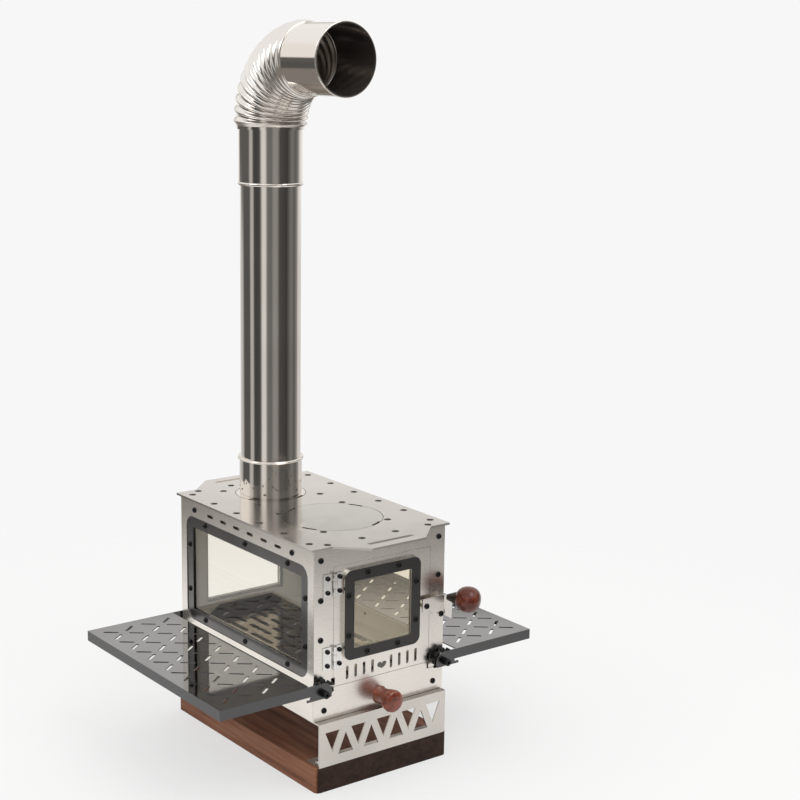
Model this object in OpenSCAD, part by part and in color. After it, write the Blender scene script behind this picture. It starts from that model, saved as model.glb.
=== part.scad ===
// Small tent wood stove: steel firebox with four windows, folding side tables,
// ash drawer, lattice feet on a wooden board, and a flue with a ribbed elbow.
// Millimetres, +Z up, the door faces -Y, the origin is the middle of the board's underside.

/* [Board] */
// Width of the wooden board
board_w = 155; // [146:1:164]
// Length of the wooden board, front to back
board_l = 252; // [248:1:264]
// Thickness of the wooden board
board_h = 24.5; // [14:0.5:40]
// Radius of the board's upright corners
board_corner_r = 5; // [1:0.5:8]

/* [Feet] */
// Height of the lattice feet, board to body
foot_h = 43; // [38:1:60]
// Width of the lattice feet
foot_w = 149; // [146:1:151]
// Sheet thickness of the lattice feet
foot_t = 1.5; // [1:0.1:2.5]
// Depth of a foot's flanges
foot_flange = 20; // [17:0.5:24]
// Distance between two triangles of the same row
truss_pitch = 29.7; // [24:0.1:30]
// Width of a triangle in the lattice
truss_w = 17; // [8:0.5:18]
// Height of a triangle in the lattice
truss_h = 20; // [8:0.5:22]
// How far the two rows of triangles are shifted in height
truss_shift = 4; // [0:0.5:6]

/* [Body] */
// Width of the body over its side panels
body_w = 152; // [148:1:160]
// Length of the body, front to back
body_l = 237; // [233:1:241]
// Height of the body, feet to top plate
body_h = 165; // [160:1:200]
// Sheet thickness of the body
sheet = 1.2; // [0.8:0.1:1.6]
// Width of the side panels' inward flanges
flange_w = 13.5; // [12:0.5:15]
// Gap between sheet parts that stand side by side
sheet_gap = 0.2; // [0.1:0.05:0.3]

/* [Side windows] */
// Length of the rounded cut-out in a side panel
window_l = 216.6; // [200:0.2:220]
// Height of the rounded cut-out in a side panel
window_h = 108.6; // [100:0.2:112]
// Corner radius of the cut-out
window_r = 12; // [5:0.5:20]
// Height of the window's middle above the feet
window_rise = 93; // [90:0.5:96]
// Face width of the window's retaining ring
ring_w = 11; // [9.5:0.1:14]
// Thickness of the retaining ring
ring_t = 4.8; // [4:0.1:5.6]
// How deep the ring sits behind the panel's face
ring_recess = 0.8; // [0:0.1:1.5]
// Thickness of the side window glass
glass_t = 3; // [2:0.1:3.5]
// How far the glass reaches under the ring
glass_lap = 3.4; // [1:0.1:3.8]
// Gap around the ring and the glass
window_gap = 0.3; // [0.2:0.05:0.5]

/* [Rear window] */
// Outer width and height of the rear window's ring
rear_ring_side = 108; // [96:0.5:112]
// Face width of the rear window's ring
rear_ring_face = 10; // [9.5:0.1:12]

/* [Door] */
// Width of the door
door_w = 112.4; // [104:0.2:114]
// Height of the door
door_h = 115.8; // [110:0.2:117]
// How far the door sits to the right of the middle
door_shift = 2.2; // [0:0.1:3]
// Gap around the door
door_gap = 0.3; // [0.2:0.05:0.5]
// Outer width of the door's retaining ring
door_ring_w = 88.6; // [84:0.2:90]
// Outer height of the door's retaining ring
door_ring_h = 86.8; // [80:0.2:90]
// Face width of the door's retaining ring
door_ring_face = 11; // [9.5:0.1:12]
// Thickness of the door's retaining ring
door_ring_t = 3.8; // [3.2:0.1:5]
// Outer corner radius of the door's retaining ring
door_ring_r = 8; // [3:0.5:12]
// Height of the door window's middle above the door's lower edge
door_window_rise = 66.8; // [64:0.2:68]
// Thickness of the door glass
door_glass_t = 2.5; // [2:0.1:2.8]
// Width of an air slot in the door
slot_w = 3; // [2:0.1:4]
// Height of an air slot in the door
slot_h = 13.4; // [8:0.2:14]
// Distance between air slots in the door
slot_pitch = 9.8; // [8:0.1:10]
// Width of the heart in the door
heart_w = 10.6; // [7:0.1:12]
// Height of the heart in the door
heart_h = 6.8; // [5:0.1:10]

/* [Hinges] */
// Height of a hinge
hinge_h = 22; // [18:0.5:24]
// Radius of a hinge's knuckle
knuckle_r = 2.1; // [1.8:0.05:2.6]
// Radius of a hinge's pin
hinge_pin_r = 1; // [0.7:0.05:1.2]
// Distance between the two hinges
hinge_span = 70.4; // [60:0.2:74]
// Sheet thickness of a hinge leaf
leaf_t = 1; // [0.7:0.1:1.4]

/* [Latch] */
// Thickness of the latch arm
arm_t = 1.5; // [1:0.1:2]
// Length of the latch arm from its pivot to its bend
arm_l = 22; // [21.9:0.1:24]
// Height of the latch arm at its outer end
arm_h = 20; // [18:0.5:24]
// Length of the arm's bent wing
wing_l = 8.4; // [8:0.2:12]
// How far the wing bends forward, in degrees
wing_bend = 56; // [50:1:60]
// Radius of the latch knob
latch_knob_r = 12.7; // [11:0.5:13]
// Length of the latch knob
latch_knob_l = 23; // [18:0.5:28]

/* [Ash drawer] */
// Height of the drawer's front over its middle
drawer_h = 30; // [29:0.5:34]
// Height of the ash tray
tray_h = 20.4; // [14:0.2:21]
// Length of the ash tray
tray_l = 222; // [150:1:228]
// Wall thickness of the ash tray
tray_t = 1; // [0.6:0.1:1.4]
// Radius of the drawer knob
drawer_knob_r = 10.8; // [7:0.1:12]
// Length of the drawer knob
drawer_knob_l = 25.5; // [20:0.5:34]

/* [Side tables] */
// Width of a side table
table_w = 95.5; // [80:0.5:96]
// Distance from the body's side panel to a table's inner edge
table_gap = 10.5; // [9:0.5:13]
// Sheet thickness of a side table
table_t = 1.2; // [1:0.1:1.6]
// Height of a side table's flanges
table_flange = 10; // [9:0.5:12]
// Height of a side table's top above the feet
table_rise = 40.6; // [40:0.2:44]
// Radius of the round ear at the pivot
ear_r = 10; // [9:0.5:12]
// Distance of the pivots from the side panel's face
pivot_inset = 4.5; // [4.3:0.1:5.5]
// Height of the pivots above the feet
pivot_rise = 31; // [30.6:0.1:31.6]
// Length of a slot in the side table
table_slot_l = 15; // [8:0.5:15.5]
// Width of a slot in the side table
table_slot_w = 3; // [1.5:0.1:3.4]

/* [Top] */
// Thickness of the top plate and its lids
plate_t = 2; // [1.5:0.1:3]
// How far the top plate overhangs the body's sides
plate_overhang = 4; // [2:0.5:6]
// How far the handle tabs reach past the top plate's ends
tab_l = 25.5; // [20:0.5:32]
// Diameter of the burner lid
burner_d = 96.4; // [80:0.2:98]
// Distance of the burner's middle in front of the origin
burner_front = 40.4; // [38:0.2:42]
// Diameter of the round air holes in the top plate
plate_hole_d = 7; // [4:0.5:8]

/* [Flue] */
// Outer diameter of the flue pipe
pipe_d = 60; // [56:0.5:62]
// Wall thickness of the flue pipe
pipe_t = 0.8; // [0.5:0.1:1.2]
// Height of the flue pipe
pipe_h = 367; // [120:1:600]
// Distance of the flue's middle behind the origin
flue_back = 69.2; // [67:0.2:72]
// Height of the flue collar above the top plate
collar_h = 39; // [25:1:60]
// Running gap between the flue pipe and the sleeves around it
sleeve_gap = 0.08; // [0.05:0.01:0.1]
// Wall thickness of the collar and of the elbow's sleeve
sleeve_t = 1.4; // [1:0.1:2]
// Length of the elbow's lower sleeve
sleeve_l = 54; // [30:1:70]
// Radius of the elbow's bend, at its middle line
bend_r = 64.5; // [58:0.5:80]
// Radius of the ribs' crests
crest_r = 36.3; // [35:0.1:38]
// Radius of the valleys between the ribs
valley_r = 33.2; // [32:0.1:34]
// Outer radius of the outlet
outlet_r = 33.6; // [32.5:0.1:34.5]
// Length of the outlet
outlet_l = 61; // [30:1:80]

/* [Grate] */
// Width of the grate
grate_w = 90; // [86:1:110]
// Thickness of the grate
grate_t = 1.5; // [1:0.1:2.5]
// Length of a slot in the grate
grate_slot_l = 38; // [20:0.5:40]
// Width of a slot in the grate
grate_slot_w = 5.4; // [3:0.2:7]
// Height of the lip at the grate's rear end
grate_lip = 9; // [4:0.5:14]

/* [Hidden] */
$fn = 64;

// Overrun of every cut
over = 1;
// Clearance of a screw in its hole
screw_fit = 0.08;

// Small button-head screws
screw_r = 1.5;
screw_head_r = 2.85;
screw_head_h = 1.65;
dome_shares = [[1, 0], [1, 0.3], [0.86, 0.68], [0.6, 0.94], [0.5, 1]];
cap_shares = [[1, 0], [1, 0.9], [0.9, 1], [0.5, 1]];
socket_r_share = 0.42;
socket_depth_share = 0.6;
tip = 0.6;

// Heights and faces
body_z = board_h + foot_h;
body_x = body_w / 2;
body_y = body_l / 2;
top_z = body_z + body_h;
board_y = board_l / 2;
inner_y = body_y - 2 * sheet;

// Foot screws
foot_screw_in = 8.25;
foot_screw_x = body_x - foot_screw_in;
foot_screw_y = inner_y - 4 * screw_r;
board_screw_r = 1.6;
board_screw_head_r = 3.2;
board_screw_l = 14;
board_screw_in = 6.4;
board_screw_x = foot_w / 2 - board_screw_in;
board_screw_y = board_y - foot_flange / 2;
lip_w = flange_w;

// Frame and rear panel screws
strip_screw_inset = 7.4;
strip_screw_drop = 10.3;
strip_screw_pitch = 38;
strip_screw_x = body_x - strip_screw_inset;
strip_screw_zs = [for (i = [0:3]) top_z - strip_screw_drop - i * strip_screw_pitch];
strip_screw_l = 2 * sheet + tip;

// Drawer bay
bay_z = body_z + drawer_h + 2 * sheet_gap;
lug_h = 6.3;
lug_z = bay_z - lug_h;
lug_w = 19.3;
bay_flange_w = 3.3;
drawer_gap = 0.3;

// Windows
window_z = body_z + window_rise;
ring_l = window_l - 2 * window_gap;
ring_h = window_h - 2 * window_gap;
ring_in_l = ring_l - 2 * ring_w;
ring_in_h = ring_h - 2 * ring_w;
ring_face = body_x - ring_recess;
shell_x = ring_face - ring_t;
shell_y = inner_y - 4 * sheet_gap;
ring_screw_edge = 4.6;
ring_screw_pitch_y = 73.8;
ring_screw_pitch_z = 46.8;
ring_screw_ys = [-ring_screw_pitch_y, 0, ring_screw_pitch_y];
ring_screw_zs = [-ring_screw_pitch_z / 2, ring_screw_pitch_z / 2];
ring_screw_l = ring_t + sheet + tip;

// Side panel vents and upper screws
vent_l = 11;
vent_w = 3;
vent_pitch = 24.2;
vent_back = 1.8;
vent_drop = 10.3;
vent_count = 6;
panel_screw_ys = [-82.2, 92.4];
deck_tab_w = 16;
deck_tab_h = 16;

// Firebox
shell_z = body_z + drawer_h;
ledge_lap = 2.2;
ledge_top = shell_z + sheet;
burner_seat = 4.4;
flue_seat = 1.4;
deck_x = body_x - sheet - sheet_gap;
deck_y = inner_y - sheet_gap;

// Door
door_x = door_shift - door_w / 2;
door_z = bay_z + door_gap;
frame_x0 = door_x - door_gap;
frame_x1 = door_x + door_w + door_gap;
frame_z1 = door_z + door_h + door_gap;
door_window_z = door_z + door_window_rise;
door_in_w = door_ring_w - 2 * door_ring_face;
door_in_h = door_ring_h - 2 * door_ring_face;
door_glass_lap = 3.2;
door_screw_edge = 5;
door_screw_x = 18;
door_screw_z = 19.2;
door_notch_w = 1.8;
door_ring_face_y = body_y + door_ring_t;
notch_w = 2.4;
notch_h = 7.5;
slot_mid = 10.3;
slot_count = 4;
slot_first = 11;
heart_drop = 1.2;

// Rear window
rear_in = rear_ring_side - 2 * rear_ring_face;
rear_screw_spread = 25;

// Hinges
hinge_x = door_x - door_gap / 2;
hinge_y = body_y + knuckle_r;
hinge_drop = 2.8;
hinge_mid_z = door_window_z - hinge_drop;
hinge_zs = [hinge_mid_z - hinge_span / 2, hinge_mid_z + hinge_span / 2];
knuckle_gap = 0.3;
pin_fit = 0.05;
leaf_clear = 0.4;
leaf_start = knuckle_r + leaf_clear;
frame_leaf_w = 12;
door_leaf_w = 8.9;
hinge_bolt_pitch = 13.6;
hinge_bolt_r = 1.3;
hinge_bolt_head_r = 2.3;
hinge_bolt_head_h = 2.3;
frame_bolt_in = 7.3;
door_bolt_in = 6.2;
frame_bolt_x = hinge_x - frame_bolt_in;
door_bolt_x = hinge_x + door_bolt_in;
hinge_bolt_l = leaf_t + sheet;

// Latch
latch_back = door_ring_face_y + door_gap;
arm_face = latch_back + arm_t;
latch_drop = 8;
catch_dx = 17.6;
latch_x = strip_screw_x - catch_dx;
latch_z = door_window_z - latch_drop;
arm_back_end = 5;
arm_over = 7.5;
arm_under = 5;
catch_gap = 0.2;
catch_r = 2;
catch_z = strip_screw_zs[2];
catch_dz = catch_z - latch_z;
hook_x = catch_dx + screw_head_r + catch_gap;
hook_z = catch_dz + catch_r + catch_gap;
hook_run = 9;
slope_run = 5;
wing_drop = 2.6;
spacer_r = 4;
wing_hold = 5;
stem_l = 5.4;
stem_r0 = 2.6;
stem_r1 = 6.5;
stem_rise = 5.5;
stem_z = latch_z + stem_rise;
wing_fit = 0.05;

// Knobs: radius shares of the knob's radius, height shares of its length
knob_shares = [[0.8, 0], [0.77, 0.05], [0.74, 0.15], [0.76, 0.3], [0.83, 0.45], [0.92, 0.59],
    [0.98, 0.71], [1, 0.8], [0.96, 0.88], [0.84, 0.94], [0.58, 0.98], [0.3, 0.995], [0, 1]];
ball_shares = [[0.57, 0], [0.74, 0.07], [0.88, 0.18], [0.97, 0.32], [1, 0.48], [0.97, 0.64],
    [0.87, 0.78], [0.7, 0.89], [0.46, 0.96], [0.24, 0.99], [0, 1]];
knob_bore_r = 2;
knob_bore_l = 12;

// Ash drawer
drawer_front_z = body_z + 2 * sheet_gap;
drawer_face = body_y + sheet_gap;
drawer_back = drawer_face - sheet;
tray_side = 6;
tray_x = body_x - sheet - tray_side;
tray_z = body_z + 2 * sheet + sheet_gap;
guide_h = 10;
drawer_screw_in = 11.6;
drawer_screw_rise = 9.5;
drawer_knob_rise = 10.5;
drawer_knob_z = body_z + drawer_knob_rise;
drawer_screw_x = body_x - drawer_screw_in;
drawer_screw_z = body_z + drawer_screw_rise;
drawer_screw_l = sheet + tray_t + tip;

// Side tables
table_x0 = body_x + table_gap;
table_x1 = table_x0 + table_w;
table_z = body_z + table_rise;
table_front = board_y + drawer_gap + table_t;
rear_spacer_h = 2.3;
table_rear = body_y + rear_spacer_h + table_t;
pivot_x = body_x - pivot_inset;
pivot_z = body_z + pivot_rise;
pivot_r = 2;
pivot_head_r = 3.5;
pivot_head_h = 6.5;
ear_under = 5.3;
neck_in = 2.2;
barb_l = 5;
barb_h = 2.1;
stop_r = 12.8;
stop_root_r = 10.4;
stop_t = 3;
stop_teeth = 9;
stop_turn = 95;
stop_tooth_shares = [[-0.34, 0], [-0.22, 1], [0.22, 1], [0.34, 0]];
table_slot_pitch_x = 42;
table_slot_pitch_y = 33.2;
table_slot_cols = 2;
table_slot_rows = 7;
table_slot_centre = 12.8;
table_slot_turn = 38;

// Top plate
plate_x = body_x + plate_overhang;
plate_y = body_y + plate_overhang / 2;
tab_root = 57;
tab_end = 31;
tab_slot_l = 53;
tab_slot_w = 5;
tab_slot_in = 13;
lid_gap = 0.6;
burner_r = burner_d / 2;
plate_burner_r = burner_r + lid_gap;
lift_slot_w = 2.4;
lift_slot_count = 4;
lift_slot_turn = 26;
lift_slot_span = 18;
hole_edge = 9.6;
hole_back = 1.5;
hole_pitch_y = 41.5;
hole_pitch_x = 39;
hole_end = 6.5;
hole_spread = 37.5;
flue_hole_front = 33.7;
flue_hole_back = 30.3;
stud_in = 16;
stud_x = body_x - stud_in;
stud_front = 17.5;
stud_y = body_y - stud_front;
stud_r = 2;
nut_r = 4;
nut_h = 3.2;

// Flue
pipe_r = pipe_d / 2;
sleeve_in = pipe_r + sleeve_gap;
sleeve_out = sleeve_in + sleeve_t;
collar_brim = 3.8;
collar_disc_r = sleeve_out + collar_brim;
bead_r = 1.7;
bead_drop = 3;
outlet_bead_r = 1.1;
outlet_bead_in = 1.3;
hem_r = 0.8;
rim_r = 1.1;
rim_out = 0.8;
rim_drop = 1.3;
pipe_top = top_z + pipe_h;
bend_wall = 1;
rib_count = 12;
rib_steps = 4;
rib_sides = 32;
outlet_wall = 1;

// Grate
grate_x = grate_w / 2;
grate_y0 = -shell_y + window_gap;
grate_y1 = shell_y - sheet - window_gap;
grate_pitch_x = 13;
grate_pitch_y = 46;
grate_border = 2;
lip_in = 13;

module rounded_rect(l, h, r) {
    square([l - 2 * r, h], center = true);
    square([l, h - 2 * r], center = true);
    for (x = [-1, 1], y = [-1, 1])
        translate([x * (l / 2 - r), y * (h / 2 - r)]) circle(r);
}

module round_slot(l, w) {
    square([l - w, w], center = true);
    for (x = [-1, 1])
        translate([x * (l - w) / 2, 0]) circle(w / 2);
}

// Band of width w along a circle of radius r, from angle a to angle b
module arc_band(r, w, a, b) {
    far = 2 * (r + w);
    intersection() {
        difference() {
            circle(r + w / 2);
            circle(r - w / 2);
        }
        polygon([[0, 0], far * [cos(a), sin(a)], far * [cos((a + b) / 2), sin((a + b) / 2)],
            far * [cos(b), sin(b)]]);
    }
}

// An outline drawn in X and Z becomes a sheet whose outer face lies at -face
module front_sheet(face, t) {
    translate([0, t - face, 0]) rotate([90, 0, 0]) linear_extrude(t) children();
}

// An outline drawn in Y and Z becomes a sheet whose outer face lies at +face in X
module side_sheet(face, t) {
    translate([face - t, 0, 0]) rotate([90, 0, 90]) linear_extrude(t) children();
}

module flat_sheet(z, t) {
    translate([0, 0, z]) linear_extrude(t) children();
}

module both_sides() {
    children();
    mirror([1, 0, 0]) children();
}

module both_ends() {
    children();
    mirror([0, 1, 0]) children();
}

// Screw along +Z: the head stands on z = 0 and the shank reaches down
module screw(l, r = screw_r, head_r = screw_head_r, head_h = screw_head_h, shares = dome_shares) {
    difference() {
        rotate_extrude()
            polygon(concat([[0, -l], [r, -l], [r, 0]],
                [for (s = shares) [s[0] * head_r, s[1] * head_h]], [[0, head_h]]));
        translate([0, 0, head_h * (1 - socket_depth_share)])
            cylinder(r = head_r * socket_r_share, h = head_h, $fn = 6);
    }
}

module hole(r, l) {
    translate([0, 0, -l]) cylinder(r = r + screw_fit, h = 2 * l);
}

module on_front(x, z, face) {
    translate([x, -face, z]) rotate([90, 0, 0]) children();
}

module on_side(y, z, face) {
    translate([face, y, z]) rotate([0, 90, 0]) children();
}

module knob(r, l, shares) {
    difference() {
        rotate_extrude()
            polygon(concat([[0, 0]], [for (s = shares) [s[0] * r, s[1] * l]]));
        translate([0, 0, -over]) cylinder(r = knob_bore_r + screw_fit, h = knob_bore_l + over);
    }
}

module base_board() {
    color("#5a3a28") difference() {
        linear_extrude(board_h) rounded_rect(board_w, board_l, board_corner_r);
        for (x = [-1, 1], y = [-1, 1])
            translate([x * board_screw_x, y * board_screw_y, board_h]) hole(board_screw_r, board_screw_l);
    }
}

module truss_triangle(up) {
    s = up ? 1 : -1;
    polygon([[-truss_w / 2, -s * truss_h / 2], [truss_w / 2, -s * truss_h / 2], [0, s * truss_h / 2]]);
}

module foot() {
    color("#c8c4bc") difference() {
        union() {
            front_sheet(board_y, foot_t)
                translate([-foot_w / 2, board_h]) square([foot_w, foot_h]);
            for (z = [board_h, body_z - foot_t])
                translate([-foot_w / 2, -board_y, z]) cube([foot_w, foot_flange, foot_t]);
        }
        front_sheet(board_y + over, foot_t + 2 * over)
            translate([0, board_h + foot_h / 2]) {
                for (i = [-2:2])
                    translate([i * truss_pitch, truss_shift / 2]) truss_triangle(false);
                for (i = [-2:1])
                    translate([(i + 1 / 2) * truss_pitch, -truss_shift / 2]) truss_triangle(true);
            }
        for (x = [-1, 1]) {
            translate([x * board_screw_x, -board_screw_y, board_h]) hole(board_screw_r, 2 * foot_t);
            translate([x * foot_screw_x, -foot_screw_y, body_z]) hole(screw_r, 2 * foot_t);
        }
    }
}

module front_foot() { foot(); }

module rear_foot() { mirror([0, 1, 0]) foot(); }

module board_screws() {
    color("#b8b4ac")
        for (x = [-1, 1], y = [-1, 1])
            translate([x * board_screw_x, y * board_screw_y, board_h + foot_t])
                screw(board_screw_l, board_screw_r, board_screw_head_r);
}

module foot_screws() {
    color("#202020")
        for (x = [-1, 1], y = [-1, 1])
            translate([x * foot_screw_x, y * foot_screw_y, body_z - foot_t])
                mirror([0, 0, 1]) screw(foot_t + 2 * sheet);
}

module floor_pan() {
    color("#b4b0a8") difference() {
        union() {
            translate([-deck_x, -deck_y, body_z + sheet]) cube([2 * deck_x, 2 * deck_y, sheet]);
            both_sides()
                translate([tray_x + drawer_gap, -deck_y, body_z + sheet])
                    cube([sheet, 2 * deck_y, sheet + guide_h]);
        }
        for (x = [-1, 1], y = [-1, 1])
            translate([x * foot_screw_x, y * foot_screw_y, body_z]) hole(screw_r, 3 * sheet);
    }
}

module side_panel() {
    difference() {
        union() {
            side_sheet(body_x, sheet)
                translate([sheet - body_y, body_z]) square([body_l - 2 * sheet, body_h]);
            both_ends() {
                front_sheet(body_y - sheet, sheet)
                    translate([body_x - flange_w, lug_z]) square([flange_w - sheet, top_z - lug_z]);
                front_sheet(body_y - sheet, sheet)
                    translate([body_x - sheet - bay_flange_w, body_z]) square([bay_flange_w, body_h]);
            }
            translate([body_x - lip_w, -inner_y, body_z]) cube([lip_w - sheet, 2 * inner_y, sheet]);
        }
        side_sheet(body_x + over, 2 * over + sheet)
            translate([0, window_z]) rounded_rect(window_l, window_h, window_r);
        side_sheet(body_x + over, 2 * over + sheet)
            for (i = [0:vent_count - 1])
                translate([(i - (vent_count - 1) / 2) * vent_pitch + vent_back, top_z - vent_drop])
                    round_slot(vent_l, vent_w);
        for (y = panel_screw_ys)
            on_side(y, top_z - vent_drop, body_x) hole(screw_r, 2 * sheet);
        for (y = [-1, 1])
            translate([foot_screw_x, y * foot_screw_y, body_z]) hole(screw_r, 2 * sheet);
        both_ends() {
            for (z = strip_screw_zs)
                on_front(strip_screw_x, z, body_y) hole(screw_r, 3 * sheet);
            on_front(pivot_x, pivot_z, body_y) hole(pivot_r, 3 * sheet);
        }
    }
}

module left_panel() { color("#c4beb4") mirror([1, 0, 0]) side_panel(); }

module right_panel() { color("#c4beb4") side_panel(); }

module rear_panel() {
    color("#bcb6ac") mirror([0, 1, 0]) difference() {
        front_sheet(body_y, sheet) difference() {
            translate([-body_x, body_z]) square([body_w, body_h]);
            translate([0, window_z]) square(rear_in, center = true);
        }
        rear_ring_places() hole(screw_r, 3 * sheet);
        for (x = [-1, 1]) {
            for (z = strip_screw_zs)
                on_front(x * strip_screw_x, z, body_y) hole(screw_r, 2 * sheet);
            on_front(x * pivot_x, pivot_z, body_y) hole(pivot_r, 2 * sheet);
        }
    }
}

module front_frame() {
    color("#ccc6bc") difference() {
        front_sheet(body_y, sheet) difference() {
            translate([-body_x, lug_z]) square([body_w, top_z - lug_z]);
            translate([frame_x0, 0]) square([frame_x1 - frame_x0, frame_z1]);
            translate([lug_w - body_x, 0]) square([body_w - 2 * lug_w, bay_z]);
            translate([frame_x0 - notch_w, door_z + sheet])
                square([frame_x1 - frame_x0 + 2 * notch_w, notch_h]);
        }
        for (x = [-1, 1]) {
            for (z = strip_screw_zs)
                on_front(x * strip_screw_x, z, body_y) hole(screw_r, 2 * sheet);
            on_front(x * pivot_x, pivot_z, body_y) hole(pivot_r, 2 * sheet);
        }
        for (z = hinge_zs, s = [-1, 1])
            on_front(frame_bolt_x, z + s * hinge_bolt_pitch / 2, body_y) hole(hinge_bolt_r, 2 * sheet);
    }
}

module frame_screws() {
    color("#1c1c1c") {
        for (z = strip_screw_zs)
            on_front(-strip_screw_x, z, body_y) screw(strip_screw_l);
        for (i = [0, 1, 3])
            on_front(strip_screw_x, strip_screw_zs[i], body_y) screw(strip_screw_l);
        on_front(strip_screw_x, catch_z, arm_face + pin_fit)
            screw(arm_face + pin_fit - body_y + strip_screw_l);
    }
}

module rear_screws() {
    color("#1c1c1c") mirror([0, 1, 0])
        for (x = [-1, 1], z = strip_screw_zs)
            on_front(x * strip_screw_x, z, body_y) screw(strip_screw_l);
}

module firebox() {
    color("#a8a296") difference() {
        union() {
            both_sides() {
                side_sheet(shell_x, sheet)
                    translate([-shell_y, shell_z]) square([2 * shell_y, top_z - shell_z]);
                translate([grate_x - ledge_lap, -shell_y, shell_z])
                    cube([shell_x - grate_x + ledge_lap, 2 * shell_y, sheet]);
                for (y = panel_screw_ys)
                    side_sheet(deck_x, sheet)
                        translate([y - deck_tab_w / 2, top_z - deck_tab_h])
                            square([deck_tab_w, deck_tab_h]);
            }
            translate([-shell_x, shell_y - sheet, shell_z]) cube([2 * shell_x, sheet, top_z - shell_z]);
            flat_sheet(top_z - sheet, sheet) {
                square([2 * deck_x, 2 * deck_y], center = true);
                translate([flange_w + sheet_gap - body_x, sheet + sheet_gap - body_y])
                    square([body_w - 2 * flange_w - 2 * sheet_gap, sheet]);
            }
        }
        both_sides() {
            side_sheet(shell_x + over, 2 * over + sheet)
                translate([0, window_z]) square([ring_in_l, ring_in_h], center = true);
            for (y = ring_screw_ys, s = [-1, 1])
                on_side(y, window_z + s * (ring_h / 2 - ring_screw_edge), shell_x) hole(screw_r, 2 * sheet);
            for (z = ring_screw_zs, s = [-1, 1])
                on_side(s * (ring_l / 2 - ring_screw_edge), window_z + z, shell_x) hole(screw_r, 2 * sheet);
            for (y = panel_screw_ys)
                on_side(y, top_z - vent_drop, deck_x) hole(screw_r, 2 * sheet);
            for (y = [-1, 1])
                translate([stud_x, y * stud_y, top_z]) hole(stud_r, 2 * sheet);
        }
        translate([0, shell_y + over, window_z]) rotate([90, 0, 0]) linear_extrude(sheet + 2 * over)
            square(rear_in + 2 * door_glass_lap, center = true);
        translate([0, -burner_front, top_z - over - sheet])
            cylinder(r = burner_r - burner_seat, h = sheet + 2 * over);
        translate([0, flue_back, top_z - over - sheet])
            cylinder(r = pipe_r - flue_seat, h = sheet + 2 * over);
    }
}

module panel_screws() {
    color("#1c1c1c") both_sides()
        for (y = panel_screw_ys)
            on_side(y, top_z - vent_drop, body_x) screw(2 * sheet + sheet_gap + tip);
}

module window_ring() {
    difference() {
        side_sheet(ring_face, ring_t)
            translate([0, window_z]) difference() {
                rounded_rect(ring_l, ring_h, window_r - window_gap);
                square([ring_in_l, ring_in_h], center = true);
            }
        side_sheet(shell_x + glass_t, glass_t + over)
            translate([0, window_z])
                square([ring_in_l + 2 * glass_lap, ring_in_h + 2 * glass_lap], center = true);
        for (y = ring_screw_ys, s = [-1, 1])
            on_side(y, window_z + s * (ring_h / 2 - ring_screw_edge), ring_face) hole(screw_r, 2 * ring_t);
        for (z = ring_screw_zs, s = [-1, 1])
            on_side(s * (ring_l / 2 - ring_screw_edge), window_z + z, ring_face) hole(screw_r, 2 * ring_t);
    }
}

module window_glass() {
    side_sheet(shell_x + glass_t, glass_t)
        translate([0, window_z])
            square([ring_in_l + 2 * (glass_lap - sheet_gap), ring_in_h + 2 * (glass_lap - sheet_gap)],
                center = true);
}

module ring_screws() {
    for (y = ring_screw_ys, s = [-1, 1])
        on_side(y, window_z + s * (ring_h / 2 - ring_screw_edge), ring_face) screw(ring_screw_l);
    for (z = ring_screw_zs, s = [-1, 1])
        on_side(s * (ring_l / 2 - ring_screw_edge), window_z + z, ring_face) screw(ring_screw_l);
}

module left_window_ring() { color("#3c3a38") mirror([1, 0, 0]) window_ring(); }

module right_window_ring() { color("#3c3a38") window_ring(); }

module left_window_glass() { color("#c8d4d4", 0.4) mirror([1, 0, 0]) window_glass(); }

module right_window_glass() { color("#c8d4d4", 0.4) window_glass(); }

module left_ring_screws() { color("#1c1c1c") mirror([1, 0, 0]) ring_screws(); }

module right_ring_screws() { color("#1c1c1c") ring_screws(); }

// Slotted plate between the ledges, with a lip turned up at its rear end
module grate() {
    cols = floor((grate_x - ledge_lap - grate_slot_w / 2) / grate_pitch_x);
    rows = floor((grate_y1 - grate_border - grate_slot_l / 2) / grate_pitch_y);
    color("#d8ccb0") {
        flat_sheet(ledge_top, grate_t) difference() {
            translate([-grate_x, grate_y0]) square([2 * grate_x, grate_y1 - grate_y0]);
            for (i = [-cols:cols], j = [-rows:rows])
                if (i % 2 == 0 || j < rows)
                    translate([i * grate_pitch_x, (j + (i % 2 == 0 ? 0 : 1 / 2)) * grate_pitch_y])
                        rotate(90) round_slot(grate_slot_l, grate_slot_w);
        }
        translate([0, grate_y1, ledge_top]) rotate([90, 0, 0]) linear_extrude(grate_t)
            polygon([[-grate_x, 0], [grate_x, 0], [grate_x, grate_t],
                [grate_x - lip_in, grate_t + grate_lip], [lip_in - grate_x, grate_t + grate_lip],
                [-grate_x, grate_t]]);
    }
}

// The round air holes: a row along each side, a row at each end, and pairs beside the lids
module plate_holes() {
    for (x = [-1, 1], i = [-3:2])
        translate([x * (plate_x - hole_edge), (i + 1 / 2) * hole_pitch_y + hole_back])
            circle(d = plate_hole_d);
    for (y = [-1, 1], i = [-2:1])
        translate([(i + 1 / 2) * hole_pitch_x, y * (plate_y - hole_end)]) circle(d = plate_hole_d);
    for (x = [-1, 1], y = [-burner_front - hole_spread, -burner_front + hole_spread,
        flue_back - flue_hole_front, flue_back + flue_hole_back])
        translate([x * hole_spread, y]) circle(d = plate_hole_d);
}

module lift_slots(r) {
    for (i = [0:lift_slot_count - 1])
        rotate(360 * i / lift_slot_count)
            arc_band(r, lift_slot_w, lift_slot_turn - lift_slot_span / 2,
                lift_slot_turn + lift_slot_span / 2);
}

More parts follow.
